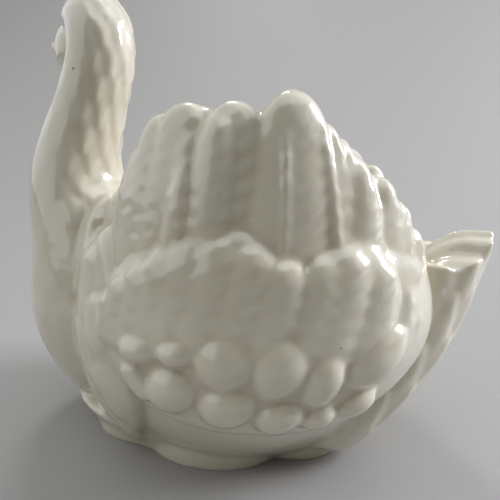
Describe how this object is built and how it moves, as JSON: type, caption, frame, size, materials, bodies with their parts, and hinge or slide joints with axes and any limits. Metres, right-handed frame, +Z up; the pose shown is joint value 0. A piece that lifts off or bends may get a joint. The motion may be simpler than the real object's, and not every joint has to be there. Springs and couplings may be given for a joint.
{
  "type": "swan figurine",
  "caption": "White glazed porcelain swan with an arched neck, raised feathered wings and an open bowl between them.",
  "frame": {"origin": "on the flat foot at the height the swan stands on, below the middle of the bowl's floor", "axes": "+Z up, -X the way the breast faces, +X towards the tail, +Y the swan's right side"},
  "size_m": [0.1828, 0.1285, 0.1712],
  "materials": {
    "glazed_porcelain": "clear gloss glaze over white porcelain"
  },
  "bodies": {
    "root": {"swan": "glazed_porcelain"}
  },
  "joints": []
}
